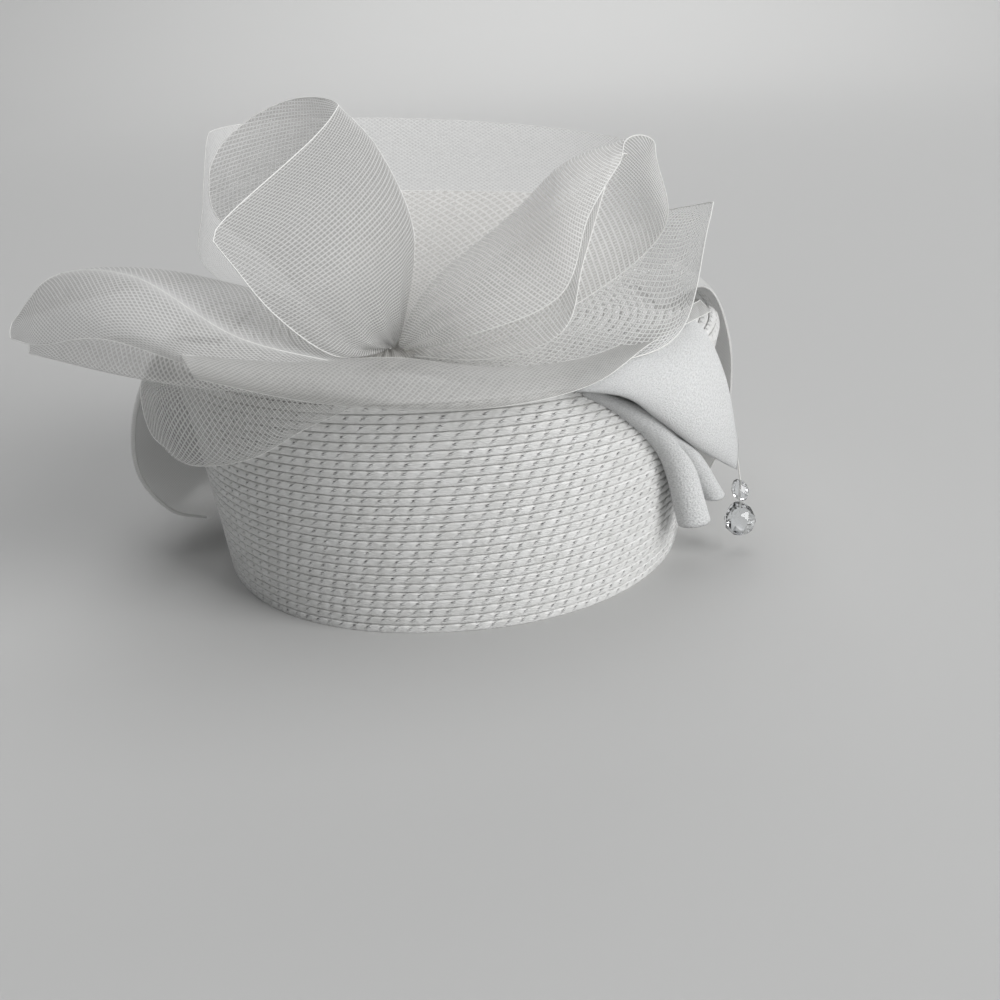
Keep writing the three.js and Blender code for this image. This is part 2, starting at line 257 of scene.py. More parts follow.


# %% [markdown]
# ## Straw braid: the finish
# The crown is sewn from a narrow band plaited from viscose straw: flat, glossy fibres that shine along
# their length. A glossy coat over a nearly white base gives the bright rims. Each plait shows a short
# crescent of a crossing strand with a small dark nick above it. Those are finer than the mesh, so bump
# draws them from the piece's UV map, which counts plaits along U and rounds of braid along V. The colour
# carries light as well: each crescent and streaks along the fibres are a painted highlight, and each nick
# and the slit under every round's lip are painted shade.

# %% Straw braid material
STRAW_COLOUR = "#dededc"
# STRAW_GLINT is a painted highlight and STRAW_SHADE is painted shade, both mixed into the straw's colour
STRAW_GLINT = "#ffffff"
STRAW_SHADE = "#76736f"
PLAIT_SLANT = 0.9          # how far a strand moves along, in plaits, while it crosses one round
FIBRES_PER_PLAIT = 3
FIBRE_LINES = 10

straw, tree = new_material("viscose_straw_braid")
uv = add_node(tree, "ShaderNodeUVMap", uv_map="plaits").outputs["UV"]
parts = add_node(tree, "ShaderNodeSeparateXYZ", {0: uv})
height = add_node(tree, "ShaderNodeMath", {0: parts.outputs["Y"]}, operation="FRACT").outputs[0]
slide = add_node(tree, "ShaderNodeMath", {0: height, 1: -PLAIT_SLANT, 2: parts.outputs["X"]},
                 operation="MULTIPLY_ADD").outputs[0]
across = add_node(tree, "ShaderNodeMath", {0: slide, 1: 0.5, 2: -0.5}, operation="WRAP").outputs[0]


def bell(tree, value, middle, width):
    """A smooth hump from 0 to 1 round a middle, as a node output."""
    offset = add_node(tree, "ShaderNodeMath", {0: value, 1: middle}, operation="SUBTRACT").outputs[0]
    ratio = add_node(tree, "ShaderNodeMath", {0: offset, 1: width}, operation="DIVIDE").outputs[0]
    square = add_node(tree, "ShaderNodeMath", {0: ratio, 1: ratio}, operation="MULTIPLY").outputs[0]
    under = add_node(tree, "ShaderNodeMath", {0: square, 1: 1.0}, operation="ADD").outputs[0]
    sharp = add_node(tree, "ShaderNodeMath", {0: under, 1: -3.0}, operation="POWER").outputs[0]
    return sharp


nick = add_node(tree, "ShaderNodeMath",
                {0: bell(tree, across, -0.04, 0.1), 1: bell(tree, height, 0.6, 0.13)},
                operation="MULTIPLY").outputs[0]
crescent = add_node(tree, "ShaderNodeMath",
                    {0: bell(tree, across, 0.1, 0.13), 1: bell(tree, height, 0.5, 0.3)},
                    operation="MULTIPLY").outputs[0]
relief = add_node(tree, "ShaderNodeMath", {0: crescent, 1: nick}, operation="SUBTRACT").outputs[0]
grain_place = add_node(tree, "ShaderNodeMapping", {"Vector": uv})
grain_place.inputs["Scale"].default_value = (FIBRES_PER_PLAIT, FIBRE_LINES, 1)
grain_place.inputs["Rotation"].default_value = (0, 0, 0.25)
fibres = add_node(tree, "ShaderNodeTexNoise", {"Vector": grain_place.outputs[0], "Scale": 1, "Detail": 3})
relief_bump = add_node(tree, "ShaderNodeBump", {"Height": relief, "Strength": 1.0, "Distance": 0.0005})
fibre_bump = add_node(tree, "ShaderNodeBump", {
    "Height": fibres.outputs["Fac"], "Strength": 0.7, "Distance": 0.0007,
    "Normal": relief_bump.outputs[0]})
# painted shade: this attribute darkens the slit under each lip
shade = add_node(tree, "ShaderNodeAttribute", attribute_name="groove_painted_shade").outputs["Fac"]
patches = add_node(tree, "ShaderNodeTexNoise", {"Vector": uv, "Scale": 0.9, "Detail": 1})
streaks = add_node(tree, "ShaderNodeMath", {0: fibres.outputs["Fac"], 1: patches.outputs["Fac"]},
                   operation="ADD").outputs[0]
# painted highlight: streaks of the fibre and patch noise lighten the colour towards white
glint = add_node(tree, "ShaderNodeMapRange", {
    "Value": streaks, "From Min": 0.8, "From Max": 1.35, "To Min": 0.0, "To Max": 0.6}).outputs[0]
# painted highlight on each crescent and along the glinting streaks
painted_highlight = add_node(tree, "ShaderNodeMath", {0: crescent, 1: glint}, operation="MAXIMUM").outputs[0]
# painted shade: each nick and the slit under each lip darken the colour
painted_shade = add_node(tree, "ShaderNodeMath", {0: nick, 1: 0.5, 2: shade}, operation="MULTIPLY_ADD",
                use_clamp=True).outputs[0]
highlit_colour = add_node(tree, "ShaderNodeMix", {
    "Factor": painted_highlight, 6: linear(STRAW_COLOUR), 7: linear(STRAW_GLINT)}, data_type="RGBA")
tone = add_node(tree, "ShaderNodeMix", {
    "Factor": painted_shade, 6: highlit_colour.outputs[2], 7: linear(STRAW_SHADE)}, data_type="RGBA")
surface = add_node(tree, "ShaderNodeBsdfPrincipled", {
    "Base Color": tone.outputs[2], "Roughness": 0.34, "IOR": 1.5, "Specular IOR Level": 0.7,
    "Normal": fibre_bump.outputs[0]})
add_node(tree, "ShaderNodeOutputMaterial", {"Surface": surface.outputs[0]})
print("straw braid:", len(tree.nodes), "nodes")

# %% [markdown]
# ## Straw braid: the crown's shape
# A braid hat is built like a shingled roof: the lower edge of each round lies over the one below it.
# The crown is cut into bands of a few rounds. Each band starts as a flat grid whose rows run up the
# outside, round by round, and come back down the inside, so that joining its four borders makes one
# closed ring. In each round the surface starts proud at the lip and sinks as it rises, and each plait
# swells it into a slanted leaf with a scalloped upper edge.

# %% Outline of the crown
ROUND_HEIGHT = WALL_TOP / 25
EDGE_ROUNDS = 2
PLAITS_ROUND_WALL = 116
GROOVE_SHADE = 1.0         # how dark the painted shade in the slit under a lip is
TUCK = 1.3                 # how deep the top of a round is tucked under the next one
BROW = 0.66                # where a round starts to dip between two leaves, in rounds
SCALLOP = 0.14             # how much higher a leaf reaches at its middle, in rounds
LEAF = 0.1                 # how much a plait swells
LIP = 0.15                 # how deep the lip's lowest edge is rounded off
LIP_END = 0.12             # where that rounding ends, in rounds
OUTER_SINK = 0.1           # how deep the proudest part of the braid lies, in millimetres
WOBBLE = 0.12              # how uneven the sewing is, in millimetres
WOBBLE_DETAIL = 40         # how quickly it changes round the crown
NOISE_TURN = 6.28          # length of the circle that the unevenness is read from
ROUND_SLIP = 0.31          # how far each round is shifted against the last, in plaits
GROOVE_START = 0.82        # where the painted shade of the slit begins, in rounds
WALL_LEVELS = (0.0, 0.1, 0.3, 0.5, 0.64, 0.74, 0.82, 0.91, 1.0)
TOP_LEVELS = (0.0, 0.12, 0.4, 0.6, 0.8, 1.0)


def crown_spot(turn, z, inset, height):
    """A point of the crown's outline in millimetres: turn is 0 to 1 round it, inset goes inwards."""
    angle = 2 * math.pi * turn
    half_width = CROWN_HALF_WIDTH + FLARE_WIDTH * z + FLARE_CURVE * z * z - inset
    half_depth = CROWN_HALF_DEPTH + FLARE_DEPTH * z + FLARE_CURVE * z * z - inset
    c, s = math.cos(angle), math.sin(angle)
    power = 2 / CROWN_SQUARENESS
    x = CROWN_LEAN * z + max(half_width, 0) * math.copysign(abs(c) ** power, c)
    return Vector((x, max(half_depth, 0) * math.copysign(abs(s) ** power, s), height))


def crown_outline(turn, z, inset, height):
    """The same point in the model's frame."""
    return place(*crown_spot(turn, z, inset, height))


def crown_surface(turn, climb, sink):
    """A point of the braid: climb counts rounds up from the rim, sink goes below the outer face."""
    wall_rounds = WALL_TOP / ROUND_HEIGHT
    if climb <= wall_rounds:
        z = climb * ROUND_HEIGHT
        return crown_outline(turn, z, sink, z)
    bend = (climb - wall_rounds) / EDGE_ROUNDS
    if bend <= 1:
        angle = bend * math.pi / 2
        radius = CROWN_EDGE - sink
        inset = CROWN_EDGE - radius * math.cos(angle)
        return crown_outline(turn, WALL_TOP, inset, WALL_TOP + radius * math.sin(angle))
    inset = CROWN_EDGE + (climb - wall_rounds - EDGE_ROUNDS) * ROUND_HEIGHT
    return crown_outline(turn, WALL_TOP, inset, CROWN_HEIGHT - sink)


print("rounds on the wall:", round(WALL_TOP / ROUND_HEIGHT))


# %% Relief of one plait
def braid_sink(along, level, wobble):
    """How deep the braid lies below its outer face: along counts plaits, level runs up a round."""
    arch = (0.5 - 0.5 * math.cos(2 * math.pi * (along - 0.5))) ** 0.8
    brow = BROW + SCALLOP * arch
    into = min(max((level - brow) / (1 - BROW - SCALLOP / 2), 0.0), 1.0)
    tuck = TUCK * into * into * (3 - 2 * into)
    lip = LIP * max(0.0, 1 - level / LIP_END)
    leaf = 0.5 + 0.5 * math.cos(2 * math.pi * (along - PLAIT_SLANT * level - 0.5))
    swell = LEAF * (1 - leaf) * math.sin(math.pi * min(level + 0.05, 1.0)) ** 2
    return OUTER_SINK + lip + tuck + swell + wobble


def braid_band(name, first, last, plaits, steps_per_plait, round_levels):
    """One closed band of braid from the first to the last round."""
    around = plaits * steps_per_plait
    levels = [(r, v) for r in range(first, last) for v in round_levels]
    inside = [last, (first + last) / 2, first]
    rows = len(levels) + len(inside)
    shape = bmesh.new()
    uv_layer = shape.loops.layers.uv.new("plaits")
    groove_painted_shade = shape.verts.layers.float.new("groove_painted_shade")
    bmesh.ops.create_grid(shape, x_segments=around, y_segments=rows, size=0.5)
    row_of = {}
    for vert in shape.verts:
        turn = round((vert.co.x + 0.5) * around) / around
        row = round((vert.co.y + 0.5) * rows) % rows
        if row < len(levels):
            round_number, level = levels[row]
            along = turn * plaits + 0.5 * (round_number % 2) + ROUND_SLIP * round_number
            spot = NOISE_TURN * turn
            wobble = WOBBLE * noise.noise(
                (math.cos(spot) * WOBBLE_DETAIL, math.sin(spot) * WOBBLE_DETAIL, round_number))
            climb = round_number + level
            sink = braid_sink(along, level, wobble)
            # painted shade: the colour darkens towards the top of each round, in the slit under the next lip
            vert[groove_painted_shade] = GROOVE_SHADE * max(0.0, (level - GROOVE_START) / 0.18)
            row_of[vert] = (along, round_number + min(max(level, 0.001), 0.999))
        else:
            climb = inside[row - len(levels)]
            sink = CROWN_WALL
            row_of[vert] = (turn * plaits, climb)
        vert.co = crown_surface(turn, climb, sink)
    for face in shape.faces:
        spots = [row_of[loop.vert] for loop in face.loops]
        for loop, spot in zip(face.loops, spots):
            loop[uv_layer].uv = spot
    bmesh.ops.remove_doubles(shape, verts=shape.verts, dist=0.00001)
    bmesh.ops.recalc_face_normals(shape, faces=shape.faces)
    piece = finish_piece(name, shape, straw)
    print(name, "-", len(piece.data.polygons), "faces")
    return piece


BANDS = [
    # name, first round, last round, plaits round it, steps per plait, levels in a round
    ("crown_braid_low", 0, 9, PLAITS_ROUND_WALL, 8, WALL_LEVELS),
    ("crown_braid_middle", 9, 18, PLAITS_ROUND_WALL, 8, WALL_LEVELS),
    ("crown_braid_high", 18, 27, PLAITS_ROUND_WALL, 8, WALL_LEVELS),
    ("crown_braid_top_outer", 27, 37, 104, 6, TOP_LEVELS),
    ("crown_braid_top_inner", 37, 48, 72, 6, TOP_LEVELS),
    ("crown_braid_top_middle", 48, 57, 36, 6, TOP_LEVELS),
]
crown_pieces = [braid_band(*band) for band in BANDS]
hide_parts("crown")

# %% [markdown]
# ## Crinoline: the finish
# Crinoline, or horsehair braid, is an open net of stiff clear nylon threads. The threads catch the light
# as fine bright lines over a grey haze. The sheet's alpha is drawn from its UV map, which measures the
# flat cloth in millimetres: two sets of parallel threads cross, and the haze between them stands for the
# finer threads, which are too thin to draw one by one. The spacing is drawn at what the net shows.


# %% Crinoline material
NET_THREAD = "#eeeeed"
NET_HAZE = "#bab9b7"
NET_GLOW = 0.5                 # share of the light that comes through from behind
WAVE_PERIOD = math.pi / 10     # length of one band of a wave texture at scale 1


def thread_lines(tree, uv, angle, spacing, wander):
    """Bright thin parallel lines across the flat cloth, as a node output from 0 to 1."""
    turned = add_node(tree, "ShaderNodeMapping", {"Vector": uv})
    turned.inputs["Rotation"].default_value = (0, 0, math.radians(angle))
    wave = add_node(tree, "ShaderNodeTexWave", {
        "Vector": turned.outputs[0], "Scale": WAVE_PERIOD / spacing, "Distortion": wander,
        "Detail": 1, "Detail Scale": 0.4}, wave_type="BANDS", bands_direction="X")
    thin = add_node(tree, "ShaderNodeMapRange", {
        "Value": wave.outputs["Fac"], "From Min": 0.45, "From Max": 1.0}, interpolation_type="SMOOTHSTEP")
    return thin.outputs[0]


def crinoline(name, bold, fine, haze, thread, contrast=0.8, haze_hex=NET_HAZE, thread_hex=NET_THREAD):
    """A net of a bold and a fine set of threads, each with its angle and spacing, and its two alphas."""
    material, tree = new_material(name)
    uv = add_node(tree, "ShaderNodeUVMap", uv_map="cloth").outputs["UV"]
    first = thread_lines(tree, uv, *bold, 0.6)
    second = thread_lines(tree, uv, *fine, 0.4)
    weaker = add_node(tree, "ShaderNodeMath", {0: second, 1: contrast}, operation="MULTIPLY").outputs[0]
    crossing = add_node(tree, "ShaderNodeMath", {0: first, 1: weaker}, operation="MAXIMUM").outputs[0]
    double = add_node(tree, "ShaderNodeAttribute", attribute_name="double").outputs["Fac"]
    line = add_node(tree, "ShaderNodeMath", {0: crossing, 1: double}, operation="MAXIMUM").outputs[0]
    flecks = add_node(tree, "ShaderNodeTexNoise", {"Vector": uv, "Scale": 0.35, "Detail": 3})
    uneven = add_node(tree, "ShaderNodeMapRange", {
        "Value": flecks.outputs["Fac"], "From Min": 0.3, "From Max": 0.7, "To Min": haze * 0.85,
        "To Max": haze * 1.15})
    alpha = add_node(tree, "ShaderNodeMapRange", {
        "Value": line, "To Min": uneven.outputs[0], "To Max": thread})
    tone = add_node(tree, "ShaderNodeMix", {
        "Factor": line, 6: linear(haze_hex), 7: linear(thread_hex)}, data_type="RGBA")
    bump = add_node(tree, "ShaderNodeBump", {"Height": line, "Strength": 0.5, "Distance": 0.0002})
    lit = add_node(tree, "ShaderNodeBsdfPrincipled", {
        "Base Color": tone.outputs[2], "Roughness": 0.42, "IOR": 1.53, "Sheen Weight": 0.35,
        "Sheen Roughness": 0.4, "Normal": bump.outputs[0]})
    glow = add_node(tree, "ShaderNodeBsdfTranslucent", {"Color": tone.outputs[2]})
    cloth = add_node(tree, "ShaderNodeMixShader", {0: NET_GLOW, 1: lit.outputs[0], 2: glow.outputs[0]})
    clear = add_node(tree, "ShaderNodeBsdfTransparent")
    veil = add_node(tree, "ShaderNodeMixShader", {
        0: alpha.outputs[0], 1: clear.outputs[0], 2: cloth.outputs[0]})
    add_node(tree, "ShaderNodeOutputMaterial", {"Surface": veil.outputs[0]})
    return material


NETS = {
    # name: angle and spacing in mm of the bold and of the fine threads, alpha of haze and of threads
    "upright": crinoline("crinoline_upright_net", (82, 1.35), (-12, 1.05), 0.6, 0.92, 0.6),
    # The folded and open nets have lighter haze and thread colours as painted light, because those petals'
    # insides face away from the lamps.
    "folded": crinoline(
        "crinoline_folded_net_painted_light", (103, 1.35), (10, 1.1), 0.5, 0.92, 0.65, "#dbdad8", "#fafaf9"),
    "open": crinoline("crinoline_open_net_painted_light", (48, 1.75), (-42, 1.75), 0.3, 0.95, 1.0, "#dddcda", "#fbfbfa"),
    "hanging": crinoline("crinoline_hanging_net", (60, 1.3), (-30, 1.3), 0.3, 0.8, 0.9),
    "bias": crinoline("crinoline_bias_net", (48, 1.2), (-42, 1.2), 0.58, 0.78, 0.8),
    "sash": crinoline("crinoline_sash_net", (50, 1.2), (-40, 1.2), 0.66, 0.82, 0.8, "#c6c5c3", "#dcdcda"),
    "cloudy": crinoline("crinoline_cloudy_net", (50, 1.4), (-40, 1.4), 0.6, 0.85, 0.9, "#d6d4d0", "#efeeec"),
    "milky": crinoline("crinoline_milky_net", (45, 1.1), (-45, 1.1), 0.55, 0.65, 0.9, "#efefee", "#fafaf9"),
}
print("nets:", sorted(NETS))

# %% Selvage material
SELVAGE_PLY = 0.0011          # length of one twist of its yarns, in metres
selvage, tree = new_material("crinoline_selvage_cord")
where = add_node(tree, "ShaderNodeTexCoord").outputs["Object"]
plies = add_node(tree, "ShaderNodeTexNoise", {"Vector": where, "Scale": 1 / SELVAGE_PLY, "Detail": 2})
tone = add_node(tree, "ShaderNodeMix", {
    "Factor": plies.outputs["Fac"], 6: linear("#d5d5d2"), 7: linear("#fbfbf9")}, data_type="RGBA")
bump = add_node(tree, "ShaderNodeBump", {"Height": plies.outputs["Fac"], "Strength": 0.6, "Distance": 0.0002})
surface = add_node(tree, "ShaderNodeBsdfPrincipled", {
    "Base Color": tone.outputs[2], "Roughness": 0.4, "IOR": 1.53, "Normal": bump.outputs[0]})
add_node(tree, "ShaderNodeOutputMaterial", {"Surface": surface.outputs[0]})
print("selvage cord ready")

# %% [markdown]
# ## Cloth bent through sections
# Each petal was cut as a flat strip, gathered at the tie and bent. A table holds a few sections across
# the strip, from the tie outwards, and every section has the same named columns. A grid is the flat
# strip; its UV map keeps where each point lay in the flat cloth. A formula makes each section an arc, and
# a smooth curve through the sections bends the strip. The curve is a centripetal Catmull-Rom curve,
# which passes through every point and makes no loops where points lie close.


# %% Curve through points
def curve_point(points, fraction):
    """A point of the smooth curve through the points, where fraction 0 is the first and 1 the last."""
    spot = fraction * (len(points) - 1)
    i = min(int(spot), len(points) - 2)
    t = spot - i
    here, there = points[i], points[i + 1]
    before = points[i - 1] if i > 0 else 2 * here - there
    after = points[i + 2] if i + 2 < len(points) else 2 * there - here
    step = max(math.sqrt((there - here).length), 0.0001)
    step_before = math.sqrt((here - before).length) or step
    step_after = math.sqrt((after - there).length) or step
    leave = (here - before) / step_before - (there - before) / (step_before + step) + (there - here) / step
    arrive = (there - here) / step - (after - here) / (step + step_after) + (after - there) / step_after
    leave, arrive = leave * step, arrive * step
    bend = -3 * here + 3 * there - 2 * leave - arrive
    turn = 2 * here - 2 * there + leave + arrive
    return here + leave * t + bend * t * t + turn * t ** 3


print("midway between two points:", curve_point([Vector((0, 0, 0)), Vector((2, 0, 0))], 0.5)[:])


# %% One section
def section_point(row, side, cloth):
    """A point of one section: side runs from 1 at the front, right or hem edge to -1 at the other."""
    middle, half, bow = row
    angle = side * math.radians(cloth.get("wrap", 180)) / 2
    crease = cloth.get("crease", 0)
    across = (1 - crease) * math.sin(angle) + crease * side
    inward = (1 - crease) * (1 - math.cos(angle)) + crease * abs(side)
    if cloth.get("on_crown"):
        degrees, height, out = middle
        start = crown_spot(degrees / 360, min(height, CROWN_HEIGHT), -out, height)
    else:
        start = Vector(middle)
    return start + across * Vector(half) + inward * Vector(bow)


print("a flat section's edge:", section_point(([0, 0, 0], [5, 0, 0], [0, 0, 0]), 1, {})[:])


# %% Rounded tip
def tip_reach(side, tip):
    """How far along the strip the cut goes at one side fraction, where tip is (corner width, drop)."""
    if not tip:
        return 1.0
    corner, drop = tip
    into = max(0.0, abs(2 * side - 1) - (1 - corner)) / corner
    return 1 - drop * (1 - math.sqrt(max(0.0, 1 - into * into)))


# %% Cloth helper
def bend_cloth(name, cloth, material, across=56, along=64):
    """A sheet of cloth as a grid bent through the sections of its table."""
    width, length = cloth["flat"]
    shape = bmesh.new()
    uv_layer = shape.loops.layers.uv.new("cloth")
    bmesh.ops.create_grid(shape, x_segments=across, y_segments=along, size=0.5)
    lines = {}
    flat_place = {}
    for vert in shape.verts:
        column = round((vert.co.x + 0.5) * across)
        step = (vert.co.y + 0.5) * tip_reach(column / across, cloth.get("tip"))
        if column not in lines:
            side = 1 - 2 * column / across
            lines[column] = [section_point(row, side, cloth) for row in cloth["rows"]]
        flat_place[vert.index] = (column / across * width, step * length)
        vert.co = curve_point(lines[column], step)
    for face in shape.faces:
        for loop in face.loops:
            loop[uv_layer].uv = flat_place[loop.vert.index]
    if "band" in cloth:
        double = shape.verts.layers.float.new("double")
        for vert in shape.verts:
            away = abs(flat_place[vert.index][0] - width / 2) / cloth["band"]
            vert[double] = 0.85 * max(0.0, 1 - away)
    gather = cloth.get("gather")
    shape.normal_update()
    if gather:
        height, folds, reach = gather
        for vert in shape.verts:
            side, step = flat_place[vert.index][0] / width, flat_place[vert.index][1] / length
            fade = max(0.0, 1 - step / reach) * min(1, step * 14)
            vert.co += vert.normal * height * fade * math.sin(2 * math.pi * folds * side)
    for vert in shape.verts:
        vert.co = place(*vert.co)
    return finish_piece(name, shape, material)


def print_share(name, sheet, cloth):
    """Prints a bent sheet's area, and what share of its flat cloth that is."""
    area = sum(face.area for face in sheet.data.polygons)
    width, length = cloth["flat"]
    print(f"{name}: {area * 1e6:.0f} mm2, {area * 1e6 / width / length:.2f} of its flat area")


def edge_lines(piece, across=56, along=64):
    """The free borders of a bent sheet, tip and both long edges, as lists of points."""
    points = [vert.co.copy() for vert in piece.data.vertices]
    stride = across + 1
    return [[points[r * stride] for r in range(along + 1)],
            [points[r * stride + across] for r in range(along + 1)],
            [points[along * stride + c] for c in range(stride)]]


def crease_line(piece, across=56, along=64):
    """The line of points that lies on a sheet's crease, which is its middle."""
    return [piece.data.vertices[r * (across + 1) + across // 2].co.copy() for r in range(along + 1)]


def selvage_cord(name, lines, radius, material=None):
    """Thin cords along the borders of a sheet."""
    curve = bpy.data.curves.new(name, "CURVE")
    curve.dimensions = "3D"
    curve.bevel_depth = radius
    curve.bevel_resolution = 1
    for line in lines:
        spline = curve.splines.new("POLY")
        spline.points.add(len(line) - 1)
        for point, where in zip(spline.points, line):
            point.co = (*where, 1)
    holder = bpy.data.objects.new(name + "_curve", curve)
    bpy.context.collection.objects.link(holder)
    shape = bmesh.new()
    shape.from_mesh(bpy.data.meshes.new_from_object(holder))
    bpy.data.objects.remove(holder)
    return finish_piece(name, shape, material or selvage)


print("cloth helpers ready")

# %% [markdown]
# ## The tables of the cloths
# A strip is given by a few sections, and each section is an arc of an ellipse. `middle` is its vertex, in
# millimetres from the middle of the rim, `bow` runs from there to the ellipse's centre, and `half` from
# the centre to its widest place, towards the front, the right or the hem. `wrap` is the arc's angle in
# degrees, 180 where it isn't given, and `crease` how sharply the vertex is pressed. Strips with
# `on_crown` give the middle as a turn in degrees, a height, and a distance off the crown's wall.
# `flat` is the width and length that the strip was cut to, and `gather` the height of the pleats at the
# tie, how many there are, and how far along they fade out. `band` is how wide a pressed fold shows.

